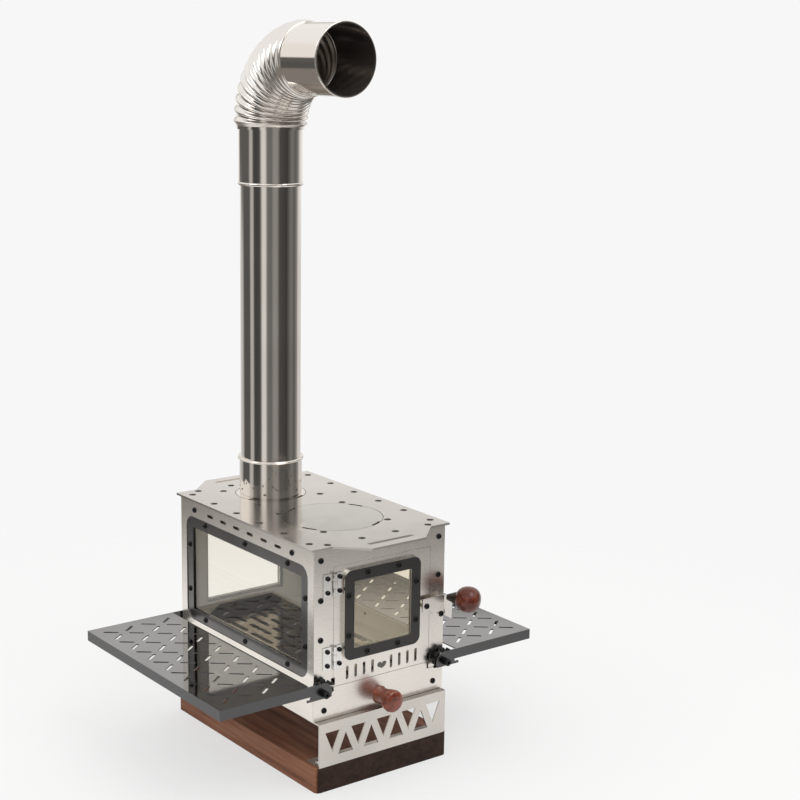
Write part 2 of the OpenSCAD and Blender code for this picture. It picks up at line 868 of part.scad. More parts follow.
module top_plate() {
    color("#d0cac0") {
        flat_sheet(top_z, plate_t) difference() {
            union() {
                square([2 * plate_x, 2 * plate_y], center = true);
                for (s = [-1, 1])
                    polygon([[-tab_root, s * (plate_y - over)], [-tab_root, s * plate_y],
                        [-tab_end, s * (plate_y + tab_l)], [tab_end, s * (plate_y + tab_l)],
                        [tab_root, s * plate_y], [tab_root, s * (plate_y - over)]]);
            }
            for (s = [-1, 1])
                translate([0, s * (plate_y + tab_l - tab_slot_in)]) round_slot(tab_slot_l, tab_slot_w);
            translate([0, -burner_front]) circle(plate_burner_r, $fn = 96);
            translate([0, flue_back]) circle(collar_disc_r + lid_gap, $fn = 96);
            plate_holes();
        }
        for (x = [-1, 1], y = [-1, 1])
            translate([x * stud_x, y * stud_y, top_z - sheet - nut_h - tip])
                cylinder(r = stud_r, h = sheet + nut_h + tip + plate_t / 2);
    }
}

module plate_nuts() {
    color("#8c8880")
        for (x = [-1, 1], y = [-1, 1])
            translate([x * stud_x, y * stud_y, top_z - sheet - nut_h]) difference() {
                cylinder(r = nut_r, h = nut_h, $fn = 6);
                translate([0, 0, -over]) cylinder(r = stud_r + screw_fit, h = nut_h + 2 * over);
            }
}

module burner_lid() {
    color("#d0cac0") translate([0, -burner_front, 0]) flat_sheet(top_z, plate_t) difference() {
        circle(burner_r, $fn = 96);
        lift_slots(burner_r - lift_slot_w / 2);
    }
}

module flue_collar() {
    color("#c8c8c8") translate([0, flue_back, top_z]) difference() {
        union() {
            linear_extrude(plate_t) difference() {
                circle(collar_disc_r, $fn = 96);
                lift_slots(collar_disc_r - lift_slot_w / 2);
            }
            cylinder(r = sleeve_out, h = plate_t + collar_h);
            translate([0, 0, plate_t + collar_h - rim_drop])
                rotate_extrude() translate([sleeve_out + rim_out, 0]) circle(rim_r, $fn = 24);
        }
        translate([0, 0, -over]) cylinder(r = sleeve_in, h = plate_t + collar_h + 2 * over);
    }
}

module flue_pipe() {
    color("#d0d0d0") translate([0, flue_back, top_z]) difference() {
        cylinder(r = pipe_r, h = pipe_h);
        translate([0, 0, -over]) cylinder(r = pipe_r - pipe_t, h = pipe_h + 2 * over);
    }
}

// Lower sleeve of the elbow: it slips over the pipe, and its inner step rests on the pipe's end
module elbow_sleeve() {
    color("#d0d0d0") translate([0, flue_back, 0]) difference() {
        union() {
            translate([0, 0, pipe_top - sleeve_l]) cylinder(r = sleeve_out, h = sleeve_l + bead_drop);
            translate([0, 0, pipe_top]) cylinder(r = valley_r, h = bead_drop);
            translate([0, 0, pipe_top - sleeve_l])
                rotate_extrude() translate([sleeve_out - bead_r / 2, bead_r]) circle(bead_r, $fn = 24);
        }
        translate([0, 0, pipe_top - sleeve_l - over])
            cylinder(r = sleeve_in, h = sleeve_l + pin_fit + over);
        translate([0, 0, pipe_top - over])
            cylinder(r = pipe_r - pipe_t, h = bead_drop + 2 * over);
    }
}

bend_z = pipe_top + bead_drop;
bend_steps = rib_count * rib_steps;

// A rib rises from valley to crest and falls again over its pitch
function rib_r(k) = valley_r + (crest_r - valley_r) * (1 - cos(360 * k / rib_steps)) / 2;

// Point of the bend's ring k: radius r about the middle line, angle a around it
function bend_point(k, r, a) =
    let (t = 90 * k / bend_steps, reach = bend_r + r * cos(a))
    [r * sin(a), flue_back - bend_r + reach * cos(t), bend_z + reach * sin(t)];

module elbow_bend() {
    n = rib_sides;
    outer = [for (k = [0:bend_steps], i = [0:n - 1]) bend_point(k, rib_r(k), 360 * i / n)];
    inner = [for (k = [0:bend_steps], i = [0:n - 1]) bend_point(k, rib_r(k) - bend_wall, 360 * i / n)];
    m = (bend_steps + 1) * n;
    quads = concat(
        [for (k = [0:bend_steps - 1], i = [0:n - 1])
            let (j = (i + 1) % n) [k * n + i, k * n + j, (k + 1) * n + j, (k + 1) * n + i]],
        [for (k = [0:bend_steps - 1], i = [0:n - 1])
            let (j = (i + 1) % n) [m + k * n + j, m + k * n + i, m + (k + 1) * n + i, m + (k + 1) * n + j]],
        [for (i = [0:n - 1])
            let (j = (i + 1) % n) [j, i, m + i, m + j]],
        [for (i = [0:n - 1])
            let (j = (i + 1) % n, e = bend_steps * n) [e + i, e + j, m + e + j, m + e + i]]);
    faces = [for (q = quads, f = [[q[0], q[1], q[2]], [q[0], q[2], q[3]]]) f];
    color("#d0d0d0") polyhedron(points = concat(outer, inner), faces = faces);
}

module elbow_outlet() {
    color("#d0d0d0") translate([0, flue_back - bend_r, bend_z + bend_r]) rotate([90, 0, 0]) difference() {
        union() {
            cylinder(r = outlet_r, h = outlet_l);
            for (z = [outlet_bead_in, outlet_l - outlet_bead_in])
                translate([0, 0, z]) rotate_extrude() translate([outlet_r, 0])
                    circle(z == outlet_bead_in ? outlet_bead_r : hem_r, $fn = 24);
        }
        translate([0, 0, -over]) cylinder(r = outlet_r - outlet_wall, h = outlet_l + 2 * over);
    }
}

// Two round lobes with tangents down to the tip, w wide and h high
module heart(w, h) {
    r = w / 4;
    d = h - r;
    turn = atan2(d, r) - atan2(r, d);
    for (s = [-1, 1]) {
        translate([s * r, h / 2 - r]) circle(r);
        polygon([[0, -h / 2], [s * d * cos(turn), d * sin(turn) - h / 2], [s * r, h / 2 - r],
            [0, h / 2 - r]]);
    }
}

module door_panel() {
    color("#ccc6bc") difference() {
        front_sheet(body_y, sheet) difference() {
            translate([door_x, door_z]) square([door_w, door_h]);
            for (x = [door_x - over, door_x + door_w - door_notch_w])
                translate([x, door_z + sheet]) square([door_notch_w + over, notch_h]);
            translate([0, door_window_z]) square([door_in_w, door_in_h], center = true);
            translate([door_shift, door_z + slot_mid]) {
                for (s = [-1, 1], i = [0:slot_count - 1])
                    translate([s * (slot_first + i * slot_pitch), 0]) rotate(90) round_slot(slot_h, slot_w);
                translate([0, -heart_drop]) heart(heart_w, heart_h);
            }
        }
        door_ring_places() hole(screw_r, 3 * sheet);
        for (z = hinge_zs, s = [-1, 1])
            on_front(door_bolt_x, z + s * hinge_bolt_pitch / 2, body_y) hole(hinge_bolt_r, 2 * sheet);
        on_front(latch_x, latch_z, body_y) hole(screw_r, 2 * sheet);
    }
}

// Two screws on each side of a ring w wide and h high whose middle is at height z
module ring_places(w, h, z, across, up) {
    for (i = [-1, 1], j = [-1, 1]) {
        on_front(i * across, z + j * (h / 2 - door_screw_edge), body_y) children();
        on_front(i * (w / 2 - door_screw_edge), z + j * up, body_y) children();
    }
}

module door_ring_places() {
    ring_places(door_ring_w, door_ring_h, door_window_z, door_screw_x, door_screw_z) children();
}

module rear_ring_places() {
    ring_places(rear_ring_side, rear_ring_side, window_z, rear_screw_spread, rear_screw_spread) children();
}

// Ring that lies on the sheet's outer face, with a rebate for its glass
module flat_ring(w, h, in_w, in_h, z) {
    difference() {
        front_sheet(door_ring_face_y, door_ring_t) translate([0, z]) difference() {
            rounded_rect(w, h, door_ring_r);
            square([in_w, in_h], center = true);
        }
        front_sheet(body_y + door_glass_t, door_glass_t + over) translate([0, z])
            square([in_w + 2 * door_glass_lap, in_h + 2 * door_glass_lap], center = true);
    }
}

module flat_glass(in_w, in_h, z) {
    lap = door_glass_lap - sheet_gap;
    front_sheet(body_y + door_glass_t, door_glass_t) translate([0, z])
        square([in_w + 2 * lap, in_h + 2 * lap], center = true);
}

module door_ring() {
    color("#3c3a38") difference() {
        flat_ring(door_ring_w, door_ring_h, door_in_w, door_in_h, door_window_z);
        door_ring_places() hole(screw_r, 2 * door_ring_t);
    }
}

module door_glass() { color("#c8d4d4", 0.4) flat_glass(door_in_w, door_in_h, door_window_z); }

module rear_window_ring() {
    color("#3c3a38") mirror([0, 1, 0]) difference() {
        flat_ring(rear_ring_side, rear_ring_side, rear_in, rear_in, window_z);
        rear_ring_places() hole(screw_r, 2 * door_ring_t);
    }
}

module rear_window_glass() {
    color("#c8d4d4", 0.4) mirror([0, 1, 0]) flat_glass(rear_in, rear_in, window_z);
}

module rear_ring_screws() {
    color("#1c1c1c") mirror([0, 1, 0]) rear_ring_places()
        translate([0, 0, door_ring_t]) screw(door_ring_t + sheet + tip);
}

module door_ring_screws() {
    color("#1c1c1c") door_ring_places()
        translate([0, 0, door_ring_t]) screw(door_ring_t + sheet + tip);
}

// Hinge leaf that reaches towards +X, with knuckles over the given spans of the hinge's height
module hinge_leaf(w, spans) {
    difference() {
        union() {
            translate([leaf_start, knuckle_r - leaf_t, 0]) cube([w - leaf_start, leaf_t, hinge_h]);
            for (s = spans) {
                translate([0, 0, s[0]]) cylinder(r = knuckle_r, h = s[1] - s[0], $fn = 32);
                translate([0, knuckle_r - leaf_t, s[0]]) cube([w, leaf_t, s[1] - s[0]]);
            }
        }
        translate([0, 0, -over]) cylinder(r = hinge_pin_r + pin_fit, h = hinge_h + 2 * over, $fn = 32);
    }
}

knuckle_spans = [[0, hinge_h / 3], [hinge_h / 3 + knuckle_gap, 2 * hinge_h / 3 - knuckle_gap],
    [2 * hinge_h / 3, hinge_h]];

module at_hinges() {
    for (z = hinge_zs)
        translate([hinge_x, -hinge_y, z - hinge_h / 2]) children();
}

module frame_hinge_leaves() {
    color("#d8d8d4") difference() {
        at_hinges() mirror([1, 0, 0]) hinge_leaf(frame_leaf_w, [knuckle_spans[0], knuckle_spans[2]]);
        for (z = hinge_zs, s = [-1, 1])
            on_front(frame_bolt_x, z + s * hinge_bolt_pitch / 2, body_y) hole(hinge_bolt_r, 2 * leaf_t);
    }
}

module door_hinge_leaves() {
    color("#d8d8d4") difference() {
        at_hinges() hinge_leaf(door_leaf_w, [knuckle_spans[1]]);
        for (z = hinge_zs, s = [-1, 1])
            on_front(door_bolt_x, z + s * hinge_bolt_pitch / 2, body_y) hole(hinge_bolt_r, 2 * leaf_t);
    }
}

module hinge_pins() {
    color("#d8d8d4") at_hinges() cylinder(r = hinge_pin_r, h = hinge_h, $fn = 32);
}

module frame_hinge_bolts() {
    color("#1c1c1c")
        for (z = hinge_zs, s = [-1, 1])
            on_front(frame_bolt_x, z + s * hinge_bolt_pitch / 2, body_y + leaf_t)
                screw(hinge_bolt_l, hinge_bolt_r, hinge_bolt_head_r, hinge_bolt_head_h);
}

module door_hinge_bolts() {
    color("#1c1c1c")
        for (z = hinge_zs, s = [-1, 1])
            on_front(door_bolt_x, z + s * hinge_bolt_pitch / 2, body_y + leaf_t)
                screw(hinge_bolt_l, hinge_bolt_r, hinge_bolt_head_r, hinge_bolt_head_h);
}

// Sleeve round the long frame screw: the latch arm drops on it, behind the screw's head
module latch_catch() {
    color("#b8b4ac") on_front(strip_screw_x, catch_z, body_y) difference() {
        cylinder(r = catch_r, h = arm_face + pin_fit - body_y);
        hole(screw_r, arm_face);
    }
}

module latch_spacer() {
    color("#b8b4ac") on_front(latch_x, latch_z, body_y) difference() {
        cylinder(r = spacer_r, h = latch_back - pin_fit - body_y);
        hole(screw_r, latch_back);
    }
}

module latch_pivot() {
    color("#1c1c1c") on_front(latch_x, latch_z, arm_face + pin_fit)
        screw(arm_face + pin_fit - body_y + sheet + tip);
}

// The arm's lower edge rests on the catch, and its outer end hooks down beside it
module latch_arm() {
    color("#c0bab0") difference() {
        union() {
            front_sheet(arm_face, arm_t) translate([latch_x, latch_z])
                polygon([[-arm_back_end, arm_over], [arm_l, arm_over], [arm_l, arm_over - arm_h],
                    [hook_x, arm_over - arm_h], [hook_x, hook_z], [catch_dx - hook_run, hook_z],
                    [catch_dx - hook_run - slope_run, -arm_under], [-arm_back_end, -arm_under]]);
            translate([latch_x + arm_l, -latch_back, latch_z]) rotate([0, 0, -wing_bend])
                rotate([90, 0, 0]) linear_extrude(arm_t)
                    polygon([[0, arm_over], [wing_l, arm_over], [wing_l, arm_over - arm_h - wing_drop],
                        [0, arm_over - arm_h]]);
        }
        on_front(latch_x, latch_z, arm_face) hole(screw_r, 2 * arm_t);
    }
}

// The knob's axis runs on from the bent wing
module on_wing(along) {
    translate([latch_x + arm_l, -latch_back, stem_z]) rotate([0, 0, -wing_bend])
        translate([along, -arm_t / 2, 0]) rotate([0, 90, 0]) children();
}

module latch_ferrule() {
    color("#4a4642") difference() {
        on_wing(wing_l - wing_hold) {
            cylinder(r1 = stem_r0, r2 = stem_r1, h = stem_l + wing_hold);
            cylinder(r = knob_bore_r, h = stem_l + wing_hold + knob_bore_l - over);
        }
        translate([latch_x + arm_l, -latch_back, 0]) rotate([0, 0, -wing_bend])
            translate([0, -arm_t - wing_fit, latch_z + arm_over - arm_h])
                cube([wing_l + wing_fit, arm_t + 2 * wing_fit, arm_h]);
    }
}

module latch_knob() {
    color("#6a3424") on_wing(wing_l + stem_l) knob(latch_knob_r, latch_knob_l, ball_shares);
}

module drawer_front() {
    color("#ccc6bc") difference() {
        front_sheet(drawer_face, sheet) {
            translate([-body_x, drawer_front_z])
                square([body_w, lug_z - 2 * sheet_gap - drawer_front_z]);
            translate([lug_w + sheet_gap - body_x, drawer_front_z])
                square([body_w - 2 * lug_w - 2 * sheet_gap, bay_z - drawer_front_z]);
        }
        for (x = [-1, 1])
            on_front(x * drawer_screw_x, drawer_screw_z, drawer_face) hole(screw_r, 2 * sheet);
        on_front(0, drawer_knob_z, drawer_face) hole(knob_bore_r, 2 * sheet);
    }
}

module drawer_screws() {
    color("#1c1c1c")
        for (x = [-1, 1])
            on_front(x * drawer_screw_x, drawer_screw_z, drawer_face) screw(drawer_screw_l);
}

module drawer_knob() {
    color("#6a3424") on_front(0, drawer_knob_z, drawer_face)
        knob(drawer_knob_r, drawer_knob_l, knob_shares);
}

// Screw from inside the tray into the knob
module knob_screw() {
    color("#8c8880") on_front(0, drawer_knob_z, drawer_back - tray_t) mirror([0, 0, 1])
        screw(tray_t + sheet + knob_bore_l - over, knob_bore_r);
}

module ash_tray() {
    color("#a8a49c") difference() {
        translate([-tray_x, -drawer_back, tray_z]) cube([2 * tray_x, tray_l, tray_h]);
        translate([tray_t - tray_x, tray_t - drawer_back, tray_z + tray_t])
            cube([2 * (tray_x - tray_t), tray_l - 2 * tray_t, tray_h]);
        for (x = [-1, 1])
            on_front(x * drawer_screw_x, drawer_screw_z, drawer_back) hole(screw_r, 2 * tray_t);
        on_front(0, drawer_knob_z, drawer_back) hole(knob_bore_r, 2 * tray_t);
    }
}

// End flange of a table with its round ear, drawn in X and Z
module ear_outline() {
    z0 = table_z - table_flange;
    neck_x = table_x0 - neck_in;
    translate([table_x0, z0]) square([table_w, table_flange]);
    difference() {
        union() {
            translate([pivot_x, pivot_z]) circle(ear_r);
            translate([pivot_x, pivot_z - ear_under])
                square([neck_x - pivot_x, table_z - pivot_z + ear_under]);
            translate([pivot_x, z0]) square([table_x0 - pivot_x, table_flange]);
            translate([neck_x - over, pivot_z - ear_under]) square([barb_l + over, barb_h]);
        }
        square([table_x1, pivot_z - ear_under]);
    }
}

// Four short slots that point at one middle
module slot_cross() {
    for (i = [0, 1], s = [-1, 1])
        rotate((i == 0 ? 1 : -1) * table_slot_turn)
            translate([s * table_slot_centre, 0]) round_slot(table_slot_l, table_slot_w);
}

module side_table() {
    mid_x = (table_x0 + table_x1) / 2;
    mid_y = (table_rear - table_front) / 2;
    difference() {
        union() {
            flat_sheet(table_z - table_t, table_t)
                translate([table_x0, -table_front]) square([table_w, table_front + table_rear]);
            translate([table_x1 - table_t, -table_front, table_z - table_flange])
                cube([table_t, table_front + table_rear, table_flange]);
            front_sheet(table_front, table_t) ear_outline();
            mirror([0, 1, 0]) front_sheet(table_rear, table_t) ear_outline();
        }
        flat_sheet(table_z - table_t - over, table_t + 2 * over)
            for (i = [0:table_slot_cols - 1], j = [0:table_slot_rows - 1])
                translate([mid_x + (i - (table_slot_cols - 1) / 2) * table_slot_pitch_x,
                    mid_y + (j - (table_slot_rows - 1) / 2) * table_slot_pitch_y]) slot_cross();
        for (s = [-1, 1])
            translate([pivot_x, (s > 0 ? table_rear : -table_front), pivot_z]) rotate([90, 0, 0])
                hole(pivot_r, 2 * table_t);
    }
}

module left_table() { color("#5c5a58") mirror([1, 0, 0]) side_table(); }

module right_table() { color("#5c5a58") side_table(); }

module table_pivots() {
    color("#1c1c1c") both_sides() {
        on_front(pivot_x, pivot_z, table_front + pin_fit)
            screw(table_front + pin_fit - inner_y + tip, pivot_r, pivot_head_r, pivot_head_h, cap_shares);
        mirror([0, 1, 0]) on_front(pivot_x, pivot_z, table_rear + pin_fit)
            screw(table_rear + pin_fit - inner_y + tip, pivot_r, pivot_head_r, pivot_head_h, cap_shares);
    }
}

// Toothed outline about a pivot, cut flat below
module stop_outline() {
    pitch = 360 / stop_teeth;
    difference() {
        polygon([for (i = [0:stop_teeth - 1], s = stop_tooth_shares)
            let (a = stop_turn + (i + s[0]) * pitch, r = stop_root_r + s[1] * (stop_r - stop_root_r))
            [r * cos(a), r * sin(a)]]);
        translate([-stop_r, -stop_r - ear_under]) square([2 * stop_r, stop_r]);
    }
}

// Toothed plate with a hub, between the body and a front ear
module table_stops() {
    reach = table_front - table_t - pin_fit - body_y;
    color("#1c1c1c") both_sides()
        on_front(pivot_x, pivot_z, body_y) difference() {
            union() {
                cylinder(r = spacer_r, h = reach);
                translate([0, 0, reach - stop_t]) linear_extrude(stop_t) stop_outline();
            }
            hole(pivot_r, board_y);
        }
}

module table_spacers() {
    color("#b8b4ac") both_sides()
        mirror([0, 1, 0]) on_front(pivot_x, pivot_z, body_y) difference() {
            cylinder(r = spacer_r, h = table_rear - table_t - pin_fit - body_y);
            hole(pivot_r, board_y);
        }
}

base_board();
front_foot();
rear_foot();
board_screws();
foot_screws();
floor_pan();
left_panel();
right_panel();
rear_panel();
front_frame();
frame_screws();
rear_screws();
firebox();
panel_screws();
left_window_ring();
left_window_glass();
left_ring_screws();
right_window_ring();
right_window_glass();
right_ring_screws();
rear_window_ring();
rear_window_glass();
rear_ring_screws();
grate();
top_plate();
plate_nuts();
burner_lid();
flue_collar();
flue_pipe();
elbow_sleeve();
elbow_bend();
elbow_outlet();
door_panel();
door_ring();
door_glass();
door_ring_screws();
frame_hinge_leaves();
door_hinge_leaves();
hinge_pins();
frame_hinge_bolts();
door_hinge_bolts();
latch_catch();
latch_spacer();
latch_pivot();
latch_arm();
latch_ferrule();
latch_knob();
drawer_front();
drawer_screws();
drawer_knob();
knob_screw();
ash_tray();
left_table();
right_table();
table_pivots();
table_stops();
table_spacers();
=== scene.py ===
import math

import bmesh
import bpy
from mathutils import Matrix, Vector


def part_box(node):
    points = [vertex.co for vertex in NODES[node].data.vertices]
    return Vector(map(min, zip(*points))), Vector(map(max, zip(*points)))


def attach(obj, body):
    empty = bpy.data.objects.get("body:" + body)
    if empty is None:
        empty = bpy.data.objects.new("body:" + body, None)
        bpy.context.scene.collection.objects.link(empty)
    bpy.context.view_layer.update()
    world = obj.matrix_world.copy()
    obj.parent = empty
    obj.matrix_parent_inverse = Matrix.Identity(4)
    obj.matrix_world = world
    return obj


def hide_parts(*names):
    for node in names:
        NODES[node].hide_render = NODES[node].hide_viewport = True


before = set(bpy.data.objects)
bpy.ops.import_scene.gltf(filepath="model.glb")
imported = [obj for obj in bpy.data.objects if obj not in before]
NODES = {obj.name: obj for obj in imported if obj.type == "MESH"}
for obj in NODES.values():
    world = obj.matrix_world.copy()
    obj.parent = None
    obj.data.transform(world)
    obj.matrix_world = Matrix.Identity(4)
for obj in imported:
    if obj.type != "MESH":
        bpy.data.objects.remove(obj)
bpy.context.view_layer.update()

PIPE_LOW, PIPE_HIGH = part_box("flue_pipe")
BEND_LOW, BEND_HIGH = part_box("elbow_bend")
FIREBOX_LOW, FIREBOX_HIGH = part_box("firebox")

# Camera, from the photograph's perspective, in degrees, metres and pixels
CAM_YAW = -37.78
CAM_PITCH = 11.89
CAM_ROLL = 0.91
CAM_PLACE = Vector((-0.8846, -1.2842, 0.6717))
CAM_CLIP_START = 0.01
FOCAL_PX = 1638.2
IMAGE_PX = 800
SENSOR_MM = 36

# Ribbed bend, in metres: it turns from the pipe's axis to the outlet's, and its radius swells at each rib
FLUE_Y = (PIPE_LOW[1] + PIPE_HIGH[1]) / 2
BEND_R = FLUE_Y - BEND_LOW[1]
BEND_Z = BEND_LOW[2]
CREST_R = BEND_HIGH[0]
VALLEY_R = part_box("elbow_sleeve")[1][0]
BEND_WALL = 0.001
BEND_SIDES = 96
RIBS = 12
RIB_STEPS = 12

# Painted shade: colours, then places in metres. The firebox is painted black as shade on top of its deck,
# and near its front with the grate too; the outlet is painted darker inside. Each pair says how far from
# there it is unshaded and how far it is black
PAINTED_SHADE = (0.040, 0.037, 0.034, 1)
INSIDE_SHADE = (0.42, 0.38, 0.35, 1)
INSIDE_SHADE_R = 0.0328
INSIDE_SHADE_EDGE = 0.0002
SHADE_FROM_DECK = (0.0003, 0.0001)
SHADE_FROM_FRONT = (0.0321, 0.0171)

# Grain: how fast it changes along X, Y and Z, so that it runs along the axis with the smallest number
EVEN = (1, 1, 1)
LEVEL = (1, 1, 40)
FRONT_TO_REAR = (40, 1, 40)
SIDE_TO_SIDE = (1, 40, 40)
UPRIGHT = (30, 30, 0.6)
BOARD_GRAIN = (26, 1.6, 34)
TURNED_GRAIN = (24, 5, 24)

# Finish: shares of a colour, a roughness or a scale, then how squarely a face looks along an axis, from
# where it counts as turned aside to where it counts as facing it
PALER = 1.35
DARKER = 0.88
PAINT_ROUGHNESS = (0.85, 1.2)
WOOD_ROUGHNESS = (1.2, 0.8)
WARP_SCALE = 0.35
WARP_SHARE = 0.12
FACING_Y = (0.5, 0.9)
FACING_UP = (0.6, 0.9)

# Floor, in metres, and what the camera sees behind the stove and through its windows
FLOOR_R = 1.3
FLOOR_SEGMENTS = 96
FLOOR_COLOUR = (0.93, 0.925, 0.92, 1)
FLOOR_FADE = (0.45, 0.95)
FLOOR_SHINE = 0.63
BACKGROUND = (0.93, 0.93, 0.93, 1)
THROUGH_GLASS = (1, 1, 1, 1)

# Studio that lights the stove and shows in its reflections. A direction is given in degrees round the
# stove, from +X towards +Y, or as a height from -1 to 1, and the number beside it is its brightness
STRIPS = [(-179, 0.06), (-163, 0.08), (-154, 0.75), (-143, 0.75), (-135, 0.18), (-120, 0.16), (-112, 0.3),
          (-98, 0.28), (-90, 0.08), (-60, 0.05), (-40, 0.2), (-20, 0.12), (-5, 0.3), (5, 0.7), (75, 0.7),
          (105, 0.5), (118, 0.1), (150, 0.1), (156, 0.5), (166, 0.5), (173, 0.07)]
BACKDROP = [(0.27, 0.97), (0.28, 0.25), (0.288, 0.06), (0.315, 0.06), (0.333, 0.95)]
SIDE_BACKDROP = [(0.02, 0.12), (0.06, 0.95)]
STUDIO_TINT = (1, 0.98, 0.95)

# Where the studio's parts stand: the backdrop's share round the stove, and degrees or heights of change
BACKDROP_SHARE = [(5, 0), (20, 1), (148, 1), (160, 0)]
BACKDROP_FOOT = (-0.14, -0.05)
SIDE_FROM = (80, 100)
UNDERFOOT = (-0.25, -0.32)
UNDERFOOT_COLOUR = (0.24, 0.22, 0.20, 1)
CEILING = (0.34, 0.5)
CEILING_COLOUR = (1, 1, 1, 1)

# Lamps: place, target and side of the square in metres, and power in watts
KEY_LAMP = ((0.3, -1.3, 1.9), (0, 0, 0.15), 1.2, 9)
FILL_LAMP = ((-1.7, 0.4, 1.5), (0, 0, 0.2), 1.0, 5)


def add_object(name, data):
    added = bpy.data.objects.new(name, data)
    bpy.context.scene.collection.objects.link(added)
    return added


def finish_mesh(name, bm, *materials):
    mesh = bpy.data.meshes.new(name)
    bm.to_mesh(mesh)
    bm.free()
    for m in materials:
        mesh.materials.append(m)
    return mesh


def make_camera():
    yaw = math.radians(CAM_YAW)
    pitch = math.radians(CAM_PITCH)
    roll = math.radians(CAM_ROLL)
    forward = Vector((-math.sin(yaw) * math.cos(pitch), math.cos(yaw) * math.cos(pitch), -math.sin(pitch)))
    level = Vector((math.cos(yaw), math.sin(yaw), 0))
    upright = level.cross(forward)
    right = level * math.cos(roll) + upright * math.sin(roll)
    up = upright * math.cos(roll) - level * math.sin(roll)
    data = bpy.data.cameras.new("camera")
    data.sensor_width = SENSOR_MM
    data.lens = FOCAL_PX / IMAGE_PX * SENSOR_MM
    data.clip_start = CAM_CLIP_START
    cam = add_object("camera", data)
    turn = Matrix((right, up, -forward)).transposed()
    cam.matrix_world = Matrix.Translation(CAM_PLACE) @ turn.to_4x4()
    bpy.context.scene.camera = cam


# Small helpers for node materials. Most return the output that the next node takes
def link(tree, a, b):
    tree.links.new(a, b)


def node(tree, kind, **values):
    n = tree.nodes.new(kind)
    for key, value in values.items():
        if key in n.inputs:
            n.inputs[key].default_value = value
        else:
            setattr(n, key, value)
    return n


def maths(tree, operation, *values):
    n = node(tree, "ShaderNodeMath", operation=operation)
    for socket, value in zip(n.inputs, values):
        if isinstance(value, (int, float)):
            socket.default_value = value
        else:
            link(tree, value, socket)
    return n.outputs["Value"]


def length(tree, vector):
    n = node(tree, "ShaderNodeVectorMath", operation="LENGTH")
    link(tree, vector, n.inputs[0])
    return n.outputs["Value"]


def object_place(tree):
    return node(tree, "ShaderNodeTexCoord").outputs["Object"]


def split(tree, vector):
    parts = node(tree, "ShaderNodeSeparateXYZ")
    link(tree, vector, parts.inputs[0])
    return parts.outputs


def ramp(tree, source, stops):
    r = tree.nodes.new("ShaderNodeValToRGB")
    while len(r.color_ramp.elements) < len(stops):
        r.color_ramp.elements.new(0.5)
    for element, (place, colour) in zip(r.color_ramp.elements, stops):
        element.position = place
        element.color = (*colour, 1)
    link(tree, source, r.inputs["Fac"])
    return r.outputs["Color"]


def spread(tree, source, low, high):
    r = node(tree, "ShaderNodeMapRange")
    r.inputs["To Min"].default_value = low
    r.inputs["To Max"].default_value = high
    link(tree, source, r.inputs["Value"])
    return r.outputs["Result"]


def smooth(tree, source, low, high):
    r = node(tree, "ShaderNodeMapRange", interpolation_type="SMOOTHSTEP")
    r.inputs["From Min"].default_value = low
    r.inputs["From Max"].default_value = high
    link(tree, source, r.inputs["Value"])
    return r.outputs["Result"]


def mixed(tree, share, a, b):
    mix = node(tree, "ShaderNodeMixRGB")
    for socket, value in zip(("Fac", "Color1", "Color2"), (share, a, b)):
        if isinstance(value, tuple):
            mix.inputs[socket].default_value = value
        else:
            link(tree, value, mix.inputs[socket])
    return mix.outputs["Color"]


def mixed_shader(tree, share, a, b):
    mix = node(tree, "ShaderNodeMixShader")
    for socket, value in zip(mix.inputs, (share, a, b)):
        link(tree, value, socket)
    return mix.outputs["Shader"]


def stretched_place(tree, stretch):
    mapping = node(tree, "ShaderNodeMapping")
    mapping.inputs["Scale"].default_value = stretch
    link(tree, object_place(tree), mapping.inputs["Vector"])
    return mapping.outputs["Vector"]


def noise(tree, stretch, scale, detail=4.0):
    n = node(tree, "ShaderNodeTexNoise", Scale=scale, Detail=detail)
    link(tree, stretched_place(tree, stretch), n.inputs["Vector"])
    return n.outputs["Fac"]


def speckle(tree):
    return noise(tree, EVEN, scale=900)


def bump(tree, shader, height, depth):
    b = node(tree, "ShaderNodeBump", Strength=1.0, Distance=depth)
    link(tree, height, b.inputs["Height"])
    link(tree, b.outputs["Normal"], shader.inputs["Normal"])


# One on a face that looks along Y, forwards or backwards, and zero on one that looks aside
def facing_y(tree):
    normal = node(tree, "ShaderNodeNewGeometry")
    along = node(tree, "ShaderNodeVectorMath", operation="DOT_PRODUCT")
    along.inputs[1].default_value = (0, 1, 0)
    link(tree, normal.outputs["Normal"], along.inputs[0])
    return smooth(tree, maths(tree, "ABSOLUTE", along.outputs["Value"]), *FACING_Y)


def paler(colour):
    return tuple(min(1, PALER * v) for v in colour)


def material(name):
    m = bpy.data.materials.new(name)
    m.use_nodes = True
    tree = m.node_tree
    return m, tree, tree.nodes["Principled BSDF"]


# Brushed or rolled sheet steel, cloudy between two colours, with a grain as deep as depth, in metres
def steel(name, dark, light, rough, stretch=EVEN, scale=60, depth=0.000006, metallic=1):
    m, tree, shader = material(name)
    shader.inputs["Metallic"].default_value = metallic
    grain = noise(tree, stretch, scale)
    cloud = noise(tree, EVEN, scale=14, detail=3)
    link(tree, ramp(tree, cloud, [(0.3, dark), (0.7, light)]), shader.inputs["Base Color"])
    link(tree, spread(tree, grain, *rough), shader.inputs["Roughness"])
    bump(tree, shader, grain, depth)
    return m
